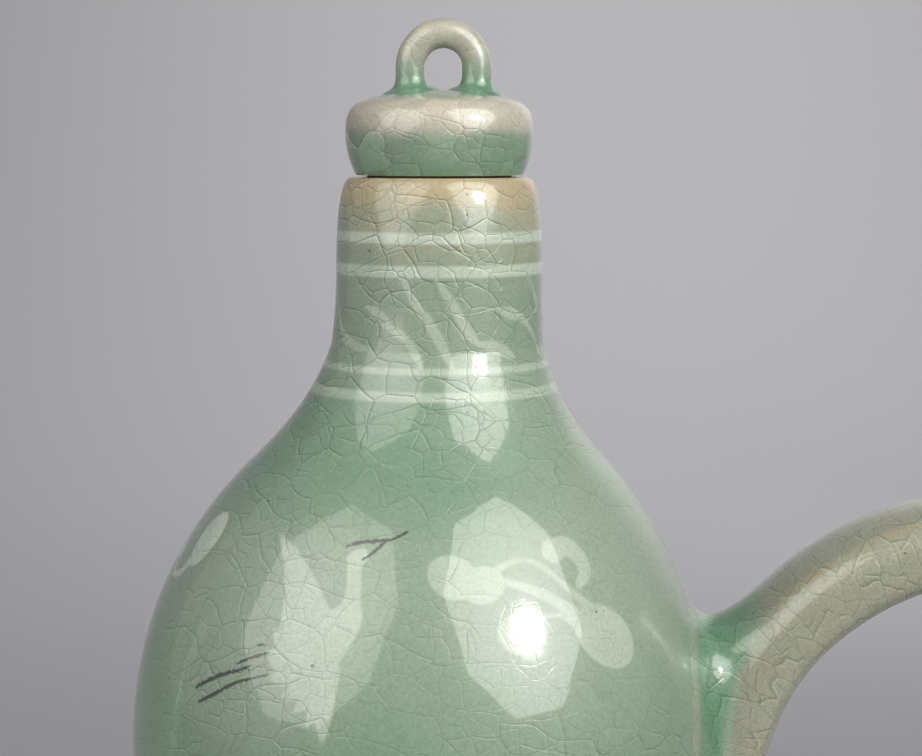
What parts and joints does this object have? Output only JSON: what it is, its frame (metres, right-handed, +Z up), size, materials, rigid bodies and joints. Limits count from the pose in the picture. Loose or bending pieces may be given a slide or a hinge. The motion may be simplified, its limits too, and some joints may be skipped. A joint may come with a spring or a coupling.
{
  "type": "double gourd ewer",
  "caption": "Glazed double gourd ewer with a strap handle, a swan-neck spout, a cord ring and a lift-off lid with a loop, standing on a foot ring.",
  "frame": {"origin": "on the table under the middle of the foot ring, midway between the spout's tip and the back of the handle", "axes": "+Z up along the body's axis, +X towards the handle, -X towards the spout, -Y towards the viewer of the picture"},
  "size_m": [0.2253, 0.148, 0.2696],
  "materials": {
    "glazed_body": "glossy crackled grey-green celadon glaze over inlaid white and black slip",
    "glazed_handle": "glossy crackled grey-green celadon glaze, beige where it runs thin on the edges",
    "glazed_lid": "glossy crackled celadon glaze, beige on the upper band and deep green where it pools",
    "bare_clay": "matt unglazed grey-brown stoneware"
  },
  "bodies": {
    "ewer": {"foot_ring": "bare_clay", "lower_bowl": "glazed_body", "lower_dome": "glazed_body", "upper_bulb": "glazed_body", "neck": "glazed_body", "spout": "glazed_handle", "handle": "glazed_handle", "handle_ring": "glazed_handle"},
    "lid": {"lid_cap": "glazed_lid", "lid_plug": "bare_clay", "lid_loop": "glazed_lid"}
  },
  "joints": [
    {"name": "lid_lift", "type": "slide", "parent": "ewer", "child": "lid", "axis": [0, 0, 1], "range_m": [0, 0.05]}
  ]
}
